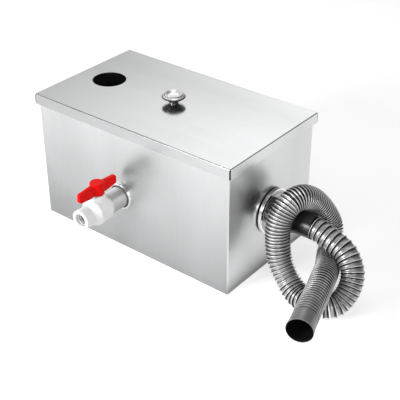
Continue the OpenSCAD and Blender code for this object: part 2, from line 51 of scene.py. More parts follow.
cameraSet = {
    "place": (0.77923, -0.92108, 0.79740),
    "target": (0.04734, 0.0, 0.05694),
    "lens": 85.28,
    "sensor": 36.0,
    "clip": (0.01, 50.0),
}


def aimAt(o, place, target):
    o.location = place
    o.rotation_mode = "QUATERNION"
    o.rotation_quaternion = (Vector(target) - Vector(place)).to_track_quat("-Z", "Y")


def makeCamera(c):
    data = bpy.data.cameras.new("camera")
    data.lens = c["lens"]
    data.sensor_width = c["sensor"]
    data.clip_start, data.clip_end = c["clip"]
    cam = bpy.data.objects.new("camera", data)
    aimAt(cam, c["place"], c["target"])
    scene.collection.objects.link(cam)
    scene.camera = cam


makeCamera(cameraSet)
print("camera set")


# Small node helpers for the materials

evenly = (1, 1, 1)


def emptyMaterial(name):
    m = bpy.data.materials.new(name)
    m.use_nodes = True
    m.node_tree.nodes.clear()
    out = m.node_tree.nodes.new("ShaderNodeOutputMaterial")
    return m, m.node_tree, out.inputs["Surface"]


def newMaterial(name):
    m, t, surface = emptyMaterial(name)
    b = t.nodes.new("ShaderNodeBsdfPrincipled")
    t.links.new(b.outputs["BSDF"], surface)
    return m, t, b


def setInputs(node, **values):
    for key, value in values.items():
        node.inputs[key.replace("_", " ")].default_value = value


def ramp(tree, value, stops):
    n = tree.nodes.new("ShaderNodeValToRGB")
    e = n.color_ramp.elements
    while len(e) < len(stops):
        e.new(0.5)
    for item, (pos, col) in zip(e, stops):
        item.position = pos
        item.color = (*col, 1)
    tree.links.new(value, n.inputs["Fac"])
    return n.outputs["Color"]


def mapRange(tree, value, a, b, c, d):
    n = tree.nodes.new("ShaderNodeMapRange")
    for i, v in enumerate((a, b, c, d)):
        n.inputs[i + 1].default_value = v
    tree.links.new(value, n.inputs[0])
    return n.outputs[0]


def mathNode(tree, operation, a, b):
    n = tree.nodes.new("ShaderNodeMath")
    n.operation = operation
    for i, v in enumerate((a, b)):
        if isinstance(v, (int, float)):
            n.inputs[i].default_value = v
        else:
            tree.links.new(v, n.inputs[i])
    return n.outputs[0]


def bump(tree, height, strength, distance, below=None):
    n = tree.nodes.new("ShaderNodeBump")
    n.inputs["Strength"].default_value = strength
    n.inputs["Distance"].default_value = distance
    tree.links.new(height, n.inputs["Height"])
    if below is not None:
        tree.links.new(below, n.inputs["Normal"])
    return n.outputs["Normal"]


def objectAxes(tree):
    coord = tree.nodes.new("ShaderNodeTexCoord")
    split = tree.nodes.new("ShaderNodeSeparateXYZ")
    tree.links.new(coord.outputs["Object"], split.inputs[0])
    return split.outputs


def grey(v):
    return (v, v, v)


def tinted(colour, k):
    return tuple(min(max(c * k, 0.0), 1.0) for c in colour)


# Shared effect: noise on Object coordinates, drawn out along the directions with small numbers

def makeDrawnNoise():
    g = bpy.data.node_groups.new("drawnNoise", "ShaderNodeTree")
    g.interface.new_socket("Stretch", in_out="INPUT", socket_type="NodeSocketVector")
    g.interface.new_socket("Scale", in_out="INPUT", socket_type="NodeSocketFloat")
    g.interface.new_socket("Detail", in_out="INPUT", socket_type="NodeSocketFloat")
    g.interface.new_socket("Value", in_out="OUTPUT", socket_type="NodeSocketFloat")
    inp = g.nodes.new("NodeGroupInput")
    out = g.nodes.new("NodeGroupOutput")
    coord = g.nodes.new("ShaderNodeTexCoord")
    mult = g.nodes.new("ShaderNodeVectorMath")
    mult.operation = "MULTIPLY"
    noise = g.nodes.new("ShaderNodeTexNoise")
    g.links.new(coord.outputs["Object"], mult.inputs[0])
    g.links.new(inp.outputs["Stretch"], mult.inputs[1])
    g.links.new(mult.outputs[0], noise.inputs["Vector"])
    g.links.new(inp.outputs["Scale"], noise.inputs["Scale"])
    g.links.new(inp.outputs["Detail"], noise.inputs["Detail"])
    g.links.new(noise.outputs["Fac"], out.inputs["Value"])
    return g


drawnNoise = makeDrawnNoise()


def drawn(tree, stretch, scale, detail):
    n = tree.nodes.new("ShaderNodeGroup")
    n.node_tree = drawnNoise
    n.inputs["Stretch"].default_value = stretch
    n.inputs["Scale"].default_value = scale
    n.inputs["Detail"].default_value = detail
    return n.outputs["Value"]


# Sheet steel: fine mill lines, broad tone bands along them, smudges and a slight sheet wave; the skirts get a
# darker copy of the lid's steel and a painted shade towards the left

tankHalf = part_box("tank_shell")[1][0]
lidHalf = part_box("lid_skirt_right")[1][0]
sheetSet = {
    "lineNoise": (26.0, 2.0),  # scale and detail
    "bandNoise": (1.6, 2.0),
    "smudgeNoise": (11.0, 5.0),
    "waveNoise": (6.0, 0.5),
    "lineShare": 0.35,
    "toneStops": (0.32, 0.68),
    "smudgeStops": (0.35, 0.65),
    "lineBump": (0.04, 0.0004),
    "waveDepth": 0.003,
    "endBand": (0.0025, 0.0015),  # in from the rim of the tank, where the gloss of its ends begins
}
lidSteelSet = {
    "colour": (0.70, 0.705, 0.71),
    "span": (0.88, 1.04),
    "paintedShadeTilt": 0.0,
    "line": (1.0, 80.0, 80.0),
    "band": (0.6, 6.0, 6.0),
    "rough": (0.15, 0.20),
    "endRough": 0.0,
    "wave": 0.08,
}
skirtSteelSet = {
    # the skirts: the lid's own steel, painted darker as shade
    "colour": (0.60, 0.605, 0.61),
    "span": (0.76, 1.10),
    # painted shade: the skirts darker towards the left
    "paintedShadeTilt": 0.16,  # darker towards the left
    "line": (1.0, 80.0, 80.0),
    "band": (0.6, 6.0, 6.0),
    "rough": (0.20, 0.26),
    "endRough": 0.0,
    "wave": 0.08,
}
tankSteelSet = {
    "colour": (0.645, 0.65, 0.655),
    "span": (0.88, 1.04),
    "paintedShadeTilt": 0.0,
    "line": (80.0, 80.0, 1.0),
    "band": (7.0, 7.0, 0.6),
    "rough": (0.37, 0.45),
    "endRough": -0.10,  # the two ends are glossier
    "wave": 0.12,
}


def makeSheetSteel(name, s, k):
    m, t, b = newMaterial(name)
    setInputs(b, Metallic=1.0)
    lines = drawn(t, s["line"], *k["lineNoise"])
    bands = drawn(t, s["band"], *k["bandNoise"])
    smudge = drawn(t, evenly, *k["smudgeNoise"])
    x = objectAxes(t)["X"]
    fine = mathNode(t, "MULTIPLY", lines, k["lineShare"])
    broad = mathNode(t, "MULTIPLY", bands, 1 - k["lineShare"])
    # painted shade across the width, used on the skirts
    along = mapRange(t, x, -lidHalf, lidHalf, -s["paintedShadeTilt"], s["paintedShadeTilt"])
    tone = mathNode(t, "ADD", mathNode(t, "ADD", fine, broad), along)
    stops = [(pos, tinted(s["colour"], share)) for pos, share in zip(k["toneStops"], s["span"])]
    t.links.new(ramp(t, tone, stops), b.inputs["Base Color"])
    begin, end = (tankHalf - inward for inward in k["endBand"])
    atEnd = mapRange(t, mathNode(t, "ABSOLUTE", x, 0.0), begin, end, 0.0, s["endRough"])
    gloss = mapRange(t, smudge, *k["smudgeStops"], *s["rough"])
    t.links.new(mathNode(t, "ADD", gloss, atEnd), b.inputs["Roughness"])
    wave = bump(t, drawn(t, evenly, *k["waveNoise"]), s["wave"], k["waveDepth"])
    t.links.new(bump(t, lines, *k["lineBump"], wave), b.inputs["Normal"])
    return m


# Tone by distance in mm from a node's axis, all painted light: painted highlight on the flange rim and
# painted dark reflection on its face, painted shade in the thread roots, in the knob groove and round the
# knob rim

# flange: face painted dark as a reflection, rim painted bright as a highlight
flangePaintedLight = ("outlet_fitting", "X", [(30.0, 0.36), (31.2, 0.36), (31.8, 0.95), (33.5, 0.95)])
# thread: painted shade in the roots
threadPaintedShade = ("drain_socket", "Y", [(8.0, 0.90), (8.4, 0.80), (9.0, 0.10), (9.6, 0.05)])
# knob: painted shade in the groove and round the widest rim
knobPaintedShade = ("lid_knob", "Z", [(12.0, 0.92), (12.9, 0.92), (13.1, 0.12), (13.6, 0.12), (14.0, 0.92),
                               (15.8, 0.92), (16.2, 0.03), (17.0, 0.03)])


def middleOf(node):
    return [(a + b) / 2 for a, b in zip(*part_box(node))]


def toneByRadius(t, node, axis, stops):
    coord = t.nodes.new("ShaderNodeTexCoord")
    across = t.nodes.new("ShaderNodeVectorMath")
    across.operation = "MULTIPLY_ADD"
    flat = [0.0 if a == axis else 1.0 for a in "XYZ"]
    across.inputs[1].default_value = flat
    across.inputs[2].default_value = [-f * c for f, c in zip(flat, middleOf(node))]
    t.links.new(coord.outputs["Object"], across.inputs[0])
    length = t.nodes.new("ShaderNodeVectorMath")
    length.operation = "LENGTH"
    t.links.new(across.outputs["Vector"], length.inputs[0])
    first, last = stops[0][0], stops[-1][0]
    share = mapRange(t, length.outputs["Value"], first * mm, last * mm, 0.0, 1.0)
    return ramp(t, share, [((r - first) / (last - first), grey(v)) for r, v in stops])


# Other finishes: mottled tone, or a painted tone of light and shade by radius, with mottled gloss and a fine
# grain

finishSet = {
    "stops": (0.3, 0.7),
    "gloss": (0.85, 1.15),
    "mottleDetail": 4.0,
    "grainDetail": 2.0,
    "finer": 14,  # grain against mottle
}


def makeFinish(name, colour=None, *, rough, byRadius=None, metallic=0.0, spread=0.05, scale=45.0, grain=0.05,
               depth=0.0003, stretch=evenly, **extra):
    m, t, b = newMaterial(name)
    setInputs(b, Metallic=metallic, **extra)
    low, high = finishSet["stops"]
    mottle = drawn(t, stretch, scale, finishSet["mottleDetail"])
    if byRadius:
        tone = toneByRadius(t, *byRadius)
    else:
        tone = ramp(t, mottle, [(low, tinted(colour, 1 - spread)), (high, tinted(colour, 1 + spread))])
    t.links.new(tone, b.inputs["Base Color"])
    glossy, dull = (rough * share for share in finishSet["gloss"])
    t.links.new(mapRange(t, mottle, low, high, glossy, dull), b.inputs["Roughness"])
    fine = drawn(t, stretch, scale * finishSet["finer"], finishSet["grainDetail"])
    t.links.new(bump(t, fine, grain, depth), b.inputs["Normal"])
    return m


lidSteel = makeSheetSteel("lidSteel", lidSteelSet, sheetSet)
skirtSteelShaded = makeSheetSteel("skirtSteelShaded", skirtSteelSet, sheetSet)
tankSteel = makeSheetSteel("tankSteel", tankSteelSet, sheetSet)
polishedSteel = makeFinish("polishedSteel", grey(0.86), rough=0.16, metallic=1.0, spread=0.03, grain=0.012)
turnedSteel = makeFinish("turnedSteel", grey(0.62), rough=0.34, metallic=1.0, grain=0.03, stretch=(0.6, 6, 6))
socketSteel = makeFinish("socketSteel", grey(0.66), rough=0.50, metallic=1.0, grain=0.03, stretch=(3, 14, 3))
flangeSteel = makeFinish("flangeSteel", byRadius=flangePaintedLight, rough=0.14, metallic=1.0, grain=0.012)
knobSteel = makeFinish("knobSteel", byRadius=knobPaintedShade, rough=0.28, metallic=0.65, grain=0.012)
# dark steel for the knob's lower cone and neck: painted shade
shadedUndersideSteel = makeFinish("shadedUndersideSteel", grey(0.16), rough=0.30, metallic=1.0, spread=0.08, grain=0.03)
sealRubber = makeFinish("sealRubber", grey(0.012), rough=0.60, grain=0.12, Specular_IOR_Level=0.12)
cuffRubber = makeFinish("cuffRubber", (0.014, 0.014, 0.015), rough=0.30, scale=70.0, spread=0.3, grain=0.22,
                        depth=0.0006)
whitePlastic = makeFinish("whitePlastic", (0.90, 0.90, 0.895), rough=0.24, spread=0.012, grain=0.03)
threadPlastic = makeFinish("threadPlastic", byRadius=threadPaintedShade, rough=0.24, grain=0.03)
seatPlastic = makeFinish("seatPlastic", (0.82, 0.82, 0.80), rough=0.5, spread=0.02, grain=0.03)
redPlastic = makeFinish("redPlastic", (0.82, 0.003, 0.003), rough=0.36, grain=0.04, Specular_IOR_Level=0.08)


# Painted reflection: to reflections and bounce light the handle is dark grey, so it gives no red cast to the
# steel and the white plastic beside it

paintedReflectionGrey = grey(0.10)


def greyToOthers(m, colour):
    t = m.node_tree
    shader = next(n for n in t.nodes if n.type == "BSDF_PRINCIPLED")
    base = shader.inputs["Base Color"]
    own = base.links[0].from_socket
    light = t.nodes.new("ShaderNodeLightPath")
    mix = t.nodes.new("ShaderNodeMix")
    mix.data_type = "RGBA"
    seen, mirrored, mixed = mix.inputs[6], mix.inputs[7], mix.outputs[2]  # the colour sockets
    others = mathNode(t, "MAXIMUM", light.outputs["Is Glossy Ray"], light.outputs["Is Diffuse Ray"])
    t.links.new(others, mix.inputs["Factor"])
    t.links.new(own, seen)
    mirrored.default_value = (*colour, 1)
    t.links.new(mixed, base)


greyToOthers(redPlastic, paintedReflectionGrey)


# Finishes of the CAD nodes

finishes = {
    lidSteel: ["lid", "ledge_front", "ledge_back", "basket_strap"],
    skirtSteelShaded: ["lid_skirt_front", "lid_skirt_back", "lid_skirt_right", "lid_skirt_left"],
    tankSteel: ["tank_shell", "inlet_weir", "outlet_partition", "filter_basket"],
    polishedSteel: ["lid_knob", "drain_ring"],
    flangeSteel: ["outlet_fitting"],
    turnedSteel: ["knob_washer", "knob_screw", "outlet_nut", "drain_nut"],
    socketSteel: ["drain_socket"],
    sealRubber: ["outlet_gasket", "outlet_washer", "drain_washer", "stem_ring"],
    cuffRubber: ["outlet_cuff", "waste_hose", "hose_end_cuff"],
    whitePlastic: ["valve_tail", "valve_body", "valve_ball", "valve_stem"],
    seatPlastic: ["seat_rear", "seat_front"],
    redPlastic: ["valve_handle"],
}
for finish, names in finishes.items():
    for name in names:
        nodes[name].data.materials.clear()
        nodes[name].data.materials.append(finish)
print("materials set")


# Making a piece from a bmesh, and turning one from a profile of (radius, height) in mm

def addPiece(name, bm, mat, body, slotName, *stoodFor):
    mesh = bpy.data.meshes.new(name)
    bm.to_mesh(mesh)
    bm.free()
    for f in mesh.polygons:
        f.use_smooth = True
    mesh.materials.append(mat)
    o = bpy.data.objects.new(name, mesh)
    scene.collection.objects.link(o)
    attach(o, body)
    if stoodFor:
        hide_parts(*stoodFor)
    return o


def axisFrame(place, ahead):
    m = Vector(ahead).to_track_quat("Z", "Y").to_matrix().to_4x4()
    m.translation = place
    return m


def turnProfile(profile, steps):
    bm = bmesh.new()
    verts = [bm.verts.new((r * mm, 0, s * mm)) for r, s in profile]
    edges = [bm.edges.new(p) for p in zip(verts, verts[1:])]
    bmesh.ops.spin(bm, geom=verts + edges, cent=(0, 0, 0), axis=(0, 0, 1), angle=math.tau, steps=steps,
                   use_merge=True)
    bmesh.ops.remove_doubles(bm, verts=bm.verts, dist=1e-6)
    bmesh.ops.recalc_face_normals(bm, faces=bm.faces)
    return bm


def softenEdges(bm, width, angle):
    bend = math.radians(angle)
    sharp = [e for e in bm.edges if len(e.link_faces) == 2 and e.calc_face_angle() > bend]
    bmesh.ops.bevel(bm, geom=sharp, offset=width, offset_type="OFFSET", segments=2, profile=0.5,
                    affect="EDGES", clamp_overlap=True, material=-1)


def newVerts(made):
    return [g for g in made if isinstance(g, bmesh.types.BMVert)]


# Waste hose: one tube of thin raised rings along the route of the CAD tube, with a painted highlight on each
# crest and painted shade beside it

hoseSet = {
    "start": (0.244, 0.0, 0.0),
    "lead": (0.026, 0.0, 0.0),  # straight out of the cuff
    "route": [
        (0, 0, 90), (26, -2, 84), (51, -4, 74), (68, -12, 57), (73.5, -24.5, 39.5),
        (69.5, -39.5, 24), (58.5, -53.3, 18.2), (36, -60, 18.2), (12.8, -56, 19), (-7.7, -50, 31),
        (-24.4, -44.5, 51), (-32.3, -40, 76), (-35.5, -34.4, 102), (-32.7, -20.3, 121.3),
        (-27.3, 1.2, 126.3), (-21.6, 24.6, 114), (-12.6, 42.2, 89.7), (-4, 50, 65), (5, 39, 47),
        (17, 14, 42), (32.5, -15.7, 46), (46, -50, 53), (57, -82, 54), (65, -109, 55), (72, -131, 55),
    ],
    "steps": 40,  # between two points of the route
    "aim": 3,  # steps each way that give the direction
    "sides": 44,
    # by distance along the hose, in metres
    "crest": [(0.0, 0.0164), (0.05, 0.0170), (0.10, 0.0174), (0.55, 0.0174), (0.64, 0.0172)],
    "depth": [(0.0, 0.0014), (0.10, 0.0022), (0.30, 0.0027), (0.54, 0.0024), (0.60, 0.0017), (0.64, 0.0010)],
    "pitch": [(0.0, 0.0080), (0.06, 0.0072), (0.09, 0.0058), (0.20, 0.0060), (0.24, 0.0056),
              (0.267, 0.0049), (0.293, 0.0039), (0.33, 0.0037), (0.37, 0.0042), (0.43, 0.0037),
              (0.48, 0.0044), (0.52, 0.0051), (0.64, 0.0051)],
    # pale: the painted highlight and shade fade out towards the end
    "pale": [(0.50, 0.0), (0.56, 0.25), (0.62, 0.45)],
    # flank: added to the painted shade on the dark flank; lighter on the left limb and arch, darker where the
    # end runs under the crossing
    "flank": [(0.19, 0.0), (0.22, 0.16), (0.29, 0.16), (0.32, 0.0), (0.35, 0.12), (0.44, 0.12), (0.46, 0.0),
              (0.48, -0.42), (0.53, -0.22), (0.60, -0.06)],
    # one ring: distance from its crest, height share, tone; the tone paints a highlight on the crest and
    # shade on one flank
    "ring": [(-0.0014, 0.06, 0.54), (-0.0008, 0.35, 0.62), (-0.0004, 0.84, 0.95), (0.0, 1.0, 1.0),
             (0.0004, 0.84, 0.60), (0.0007, 0.42, 0.0), (0.0015, 0.06, 0.0)],
    # turned: stretches where the painted shade lies on the other flank
    "turned": [(0.14, 0.205), (0.325, 0.47)],  # stretches where the dark flank is on the other side
    "valleyTone": 0.50,
    "paleTone": 0.54,
    "firstCrest": 0.0012,
    "lastGap": 0.002,
}


def tableAt(table, s):
    if s <= table[0][0]:
        return table[0][1]
    for (a, va), (b, vb) in zip(table, table[1:]):
        if s <= b:
            return va + (vb - va) * (s - a) / (b - a)
    return table[-1][1]


def hoseLine(h):
    pts = [Vector(h["start"]) + Vector(p) * mm for p in h["route"]]
    led = [pts[0] - Vector(h["lead"])] + pts + [2 * pts[-1] - pts[-2]]
    line = []
    for a, b, c, d in zip(led, led[1:], led[2:], led[3:]):
        for k in range(h["steps"]):
            t = k / h["steps"]
            line.append(0.5 * (2 * b + (c - a) * t + (2 * a - 5 * b + 4 * c - d) * t * t
                               + (3 * b - a - 3 * c + d) * t ** 3))
    line.append(pts[-1])
    return line


def pointAt(line, far, s, aim):
    at = min(max(bisect.bisect_right(far, s) - 1, 0), len(far) - 2)
    t = (s - far[at]) / (far[at + 1] - far[at])
    behind = line[max(at - aim, 0)]
    before = line[min(at + 1 + aim, len(line) - 1)]
    return line[at].lerp(line[at + 1], t), (before - behind).normalized()


def hoseStations(h, total):
    stations = []
    s = h["firstCrest"] - tableAt(h["pitch"], 0.0) / 2
    while s < total - h["lastGap"]:
        p = tableAt(h["pitch"], s)
        flank = tableAt(h["flank"], s)
        ring = [(u, lift, tone + flank if u > 0 else tone) for u, lift, tone in h["ring"]]
        if any(a < s < b for a, b in h["turned"]):
            ring = [(-u, lift, tone) for u, lift, tone in reversed(ring)]
        stations.append((s, 0.0, h["valleyTone"]))
        stations += [(s + p / 2 + u, lift, tone) for u, lift, tone in ring]
        s += p
    stations.append((total, 0.0, h["valleyTone"]))
    return [v for v in stations if 0.0 <= v[0] <= total]


def frameAt(place, ahead, side):
    x = (side - side.dot(ahead) * ahead).normalized()
    m = Matrix((x, ahead.cross(x), ahead)).transposed().to_4x4()
    m.translation = place
    return m, x


def makeHose(h):
    line = hoseLine(h)
    far = [0.0]
    for a, b in zip(line, line[1:]):
        far.append(far[-1] + (b - a).length)
    total = far[-1]
    bm = bmesh.new()
    toneLayer = bm.verts.layers.float.new("ringHighlightAndShade")
    side = Vector((0, 0, 1))
    loop, last, path = None, None, []
    for s, lift, tone in hoseStations(h, total):
        place, ahead = pointAt(line, far, s, h["aim"])
        m, side = frameAt(place, ahead, side)
        r = tableAt(h["crest"], s) - tableAt(h["depth"], s) * (1 - lift)
        m = m @ Matrix.Diagonal((r, r, 1, 1))
        if loop is None:
            made = bmesh.ops.create_circle(bm, cap_ends=False, segments=h["sides"], radius=1.0, matrix=m)
            verts = made["verts"]
            loop = list(bm.edges)
        else:
            made = bmesh.ops.extrude_edge_only(bm, edges=loop)["geom"]
            verts = newVerts(made)
            fresh = set(verts)
            loop = [g for g in made if isinstance(g, bmesh.types.BMEdge) and fresh.issuperset(g.verts)]
            bmesh.ops.transform(bm, matrix=m @ last.inverted(), verts=verts)
        pale = tableAt(h["pale"], s)
        for v in verts:
            v[toneLayer] = tone + (h["paleTone"] - tone) * pale
        last = m
        path.append(tuple(place))
    bmesh.ops.recalc_face_normals(bm, faces=bm.faces)
    return bm, path, total


# Hose plastic: tone from the mesh's own attribute, which holds painted highlight and shade, with a speckle

hosePlasticSet = {
    "stops": [(0.05, grey(0.004)), (0.50, grey(0.36)), (0.97, grey(0.94))],
    "rough": 0.40,
    "metallic": 0.75,
    "attribute": "ringHighlightAndShade",
}
hoseEndPlasticSet = {
    "stops": [(0.05, grey(0.012)), (0.95, grey(0.27))],
    "rough": 0.38,
    "metallic": 0.35,
    "attribute": "unshadedWall",
}
speckleSet = {
    "noise": (60.0, 4.0),  # scale and detail
    "stops": (0.3, 0.7),
    "tone": 0.04,
    "gloss": (0.8, 1.2),
    "grainNoise": (500.0, 2.0),
    "grain": (0.05, 0.0003),
}


def makeHosePlastic(name, s, k):
    m, t, b = newMaterial(name)
    setInputs(b, Metallic=s["metallic"])
    own = t.nodes.new("ShaderNodeAttribute")
    own.attribute_name = s["attribute"]
    speckle = drawn(t, evenly, *k["noise"])
    tone = mathNode(t, "ADD", own.outputs["Fac"], mapRange(t, speckle, *k["stops"], -k["tone"], k["tone"]))
    t.links.new(ramp(t, tone, s["stops"]), b.inputs["Base Color"])
    glossy, dull = (s["rough"] * share for share in k["gloss"])
    t.links.new(mapRange(t, speckle, *k["stops"], glossy, dull), b.inputs["Roughness"])
    t.links.new(bump(t, drawn(t, evenly, *k["grainNoise"]), *k["grain"]), b.inputs["Normal"])
    return m


hosePlastic = makeHosePlastic("hosePlastic", hosePlasticSet, speckleSet)
hoseMesh, hosePath, hoseLength = makeHose(hoseSet)
wasteHose = addPiece("wasteHose", hoseMesh, hosePlastic, "trap", "hose_plastic", "waste_hose")
print("hose made", round(hoseLength, 4), "m,", len(wasteHose.data.polygons), "faces")


# Hose end: the rings die out into a smooth thin mouth, its inside painted near black as shade

hoseEndSet = {
    "outside": [(16.6, -1.5), (17.1, 0.6), (16.9, 2.4), (17.1, 4.0), (16.95, 5.8), (17.0, 9.0), (17.2, 15.0),
                (17.7, 21.5), (18.05, 24.3), (18.0, 24.9), (17.6, 25.0)],
    "inside": [(17.3, 24.6), (16.9, 20.0), (16.4, 8.0), (15.6, 0.0), (14.6, -4.0), (14.5, -24.0)],
    "steps": 72,
    "aim": 12,  # points of the hose's path that give the direction
    "near": 0.01,  # a vertex this close to a point of the inside belongs to it
}


def makeHoseEnd(h, path):
    bm = turnProfile(h["outside"] + h["inside"], h["steps"])
    wall = bm.verts.layers.float.new("unshadedWall")
    for v in bm.verts:
        r, s = v.co.xy.length / mm, v.co.z / mm
        # the inside wall takes painted shade
        inner = any(math.hypot(r - a, s - b) < h["near"] for a, b in h["inside"])
        v[wall] = 0.0 if inner else 1.0
    end = Vector(path[-1])
    ahead = (end - Vector(path[-h["aim"]])).normalized()
    bmesh.ops.transform(bm, matrix=axisFrame(end, ahead), verts=bm.verts)
    return bm


hoseEndPlastic = makeHosePlastic("hoseEndPlastic", hoseEndPlasticSet, speckleSet)
hoseEndMesh = makeHoseEnd(hoseEndSet, hosePath)
hoseEnd = addPiece("hoseEnd", hoseEndMesh, hoseEndPlastic, "trap", "hose_plastic", "hose_end_cuff")
print("hose end made")


# Moulded plastic: a merged copy of the solid, rounded at its edges

mouldSet = {
    "valve_body": {"name": "valveShell", "voxel": 0.00055, "rounds": 7},
    "valve_handle": {"name": "valveWings", "voxel": 0.00045, "rounds": 9},
}


def makeMoulded(nodeName, s, mat, body, slotName):
    bm = bmesh.new()
    bm.from_mesh(nodes[nodeName].data)
    bmesh.ops.remove_doubles(bm, verts=bm.verts, dist=2e-6)
    raw = bpy.data.meshes.new(nodeName + "Raw")
    bm.to_mesh(raw)
    bm.free()
    maker = bpy.data.objects.new(nodeName + "Maker", raw)
    scene.collection.objects.link(maker)
    grid = maker.modifiers.new("grid", "REMESH")
    grid.mode = "VOXEL"
    grid.voxel_size = s["voxel"]
    bpy.context.view_layer.update()
    shaped = maker.evaluated_get(bpy.context.evaluated_depsgraph_get())
    bm = bmesh.new()
    bm.from_mesh(bpy.data.meshes.new_from_object(shaped))
    bpy.data.objects.remove(maker)
    for turn in range(s["rounds"]):
        bmesh.ops.smooth_vert(bm, verts=bm.verts, factor=0.5, use_axis_x=True, use_axis_y=True,
                              use_axis_z=True)
    return addPiece(s["name"], bm, mat, body, slotName, nodeName)


valveShell = makeMoulded("valve_body", mouldSet["valve_body"], whitePlastic, "trap", "white_plastic")
valveWings = makeMoulded("valve_handle", mouldSet["valve_handle"], redPlastic, "spindle", "red_plastic")
print("valve moulded", len(valveShell.data.polygons), len(valveWings.data.polygons), "faces")


# Thread in the valve outlet, in mm

threadSet = {
    "radius": 9.6,
    "crest": 8.0,
    "crestHalf": 0.18,
    "pitch": 3.3,
    "rootShare": 0.46,  # half the root against the pitch
    "length": 15.5,
    "stepsPerTurn": 48,
    "inset": 0.9,
    "soften": 0.12,
}


def makeThread(t):
    bm = bmesh.new()
    half = t["pitch"] * t["rootShare"]
    corners = [(t["radius"], -half), (t["crest"], -t["crestHalf"]), (t["crest"], t["crestHalf"]),
               (t["radius"], half)]
    verts = [bm.verts.new((r * mm, 0, s * mm)) for r, s in corners]
    edges = [bm.edges.new(p) for p in zip(verts, verts[1:] + verts[:1])]
    turns = (t["length"] - 2 * half) / t["pitch"]
    steps = int(turns * t["stepsPerTurn"])
    bmesh.ops.spin(bm, geom=verts + edges, cent=(0, 0, 0), axis=(0, 0, 1), angle=math.tau * turns,
                   steps=steps, dvec=(0, 0, turns * t["pitch"] * mm / steps), use_merge=False)
    bmesh.ops.holes_fill(bm, edges=[e for e in bm.edges if e.is_boundary], sides=4)
    bmesh.ops.recalc_face_normals(bm, faces=bm.faces)
    mouth = Vector(middleOf("drain_socket"))
    mouth.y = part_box("valve_body")[0][1] + (t["inset"] + half) * mm
    bmesh.ops.transform(bm, matrix=axisFrame(mouth, (0, 1, 0)), verts=bm.verts)
    return bm


valveThread = addPiece("valveThread", makeThread(threadSet), threadPlastic, "trap", "white_plastic")
softenThread = valveThread.modifiers.new("soften", "BEVEL")
softenThread.width = threadSet["soften"] * mm
softenThread.segments = 1
print("thread made")


# Lid knob: two cones back to back, with a groove round the dished top; the lower cone and neck take a dark
# steel as painted shade

knobSet = {
    "profile": [(6.4, 0), (6.4, 0.7), (5.8, 1.1), (5.8, 1.5), (6.4, 2.0), (11.0, 5.4), (15.9, 8.9),
                (16.7, 9.3), (17.0, 9.8), (16.8, 10.4), (13.9, 13.2), (13.5, 13.1), (13.0, 13.9),
                (12.8, 14.3), (12.4, 14.55), (11.9, 14.5), (10.4, 13.0), (8.0, 11.6), (6.2, 11.3), (0, 11.2)],
    "steps": 96,
    "round": 0.3,
    "sharp": 20.0,
    "shadedBelow": 10.2,
}


def makeKnob(k):
    bm = turnProfile(k["profile"], k["steps"])
    # faces below the rim take the dark steel: painted shade
    for f in bm.faces:
        f.material_index = 1 if all(v.co.z < k["shadedBelow"] * mm for v in f.verts) else 0
    softenEdges(bm, k["round"] * mm, k["sharp"])
    bmesh.ops.translate(bm, vec=(0, 0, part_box("lid_knob")[0][2]), verts=bm.verts)
    return bm


lidKnob = addPiece("lidKnob", makeKnob(knobSet), knobSteel, "trap", "polished_steel", "lid_knob")
lidKnob.data.materials.append(shadedUndersideSteel)
print("knob made")


# Lid seal: a black strip between the tank rim and the skirts, with a black nose in each open corner as
# painted shade in the slit

sealSet = {
    "clear": 0.0002,
    "thick": 0.0016,
    "corner": 0.0015,
    "low": 0.1858,
    "high": 0.1992,
    "round": 0.0004,
    "sharp": 40.0,
    "slip": 0.00005,  # from the nose to the ends of the skirts
    "inset": 0.0002,  # of the nose, from the faces of the skirts
    "root": (0.0007, 0.0004),  # inwards and outwards, where the nose joins the strip
}


# black noses in the open corners: painted shade in the slits
def addCornerShadeNoses(bm, s):
    frontEnd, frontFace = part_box("lid_skirt_front")[1][0], -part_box("lid_skirt_front")[0][1]
    sideFace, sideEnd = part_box("lid_skirt_right")[1][:2]
    inner, outer = s["root"]
    nose = (frontEnd + s["slip"], sideFace - s["inset"], sideEnd + s["slip"], frontFace - s["inset"])
    root = (frontEnd - inner, frontEnd + outer, sideEnd - inner, sideEnd + outer)
    middleZ = (s["low"] + s["high"]) / 2
    for x0, x1, y0, y1 in (nose, root):
        size = Matrix.Diagonal((x1 - x0, y1 - y0, s["high"] - s["low"], 1))
        for sideX in (-1, 1):
            for sideY in (-1, 1):
                place = Matrix.Translation((sideX * (x0 + x1) / 2, sideY * (y0 + y1) / 2, middleZ))
                bmesh.ops.create_cube(bm, size=1.0, matrix=place @ size)


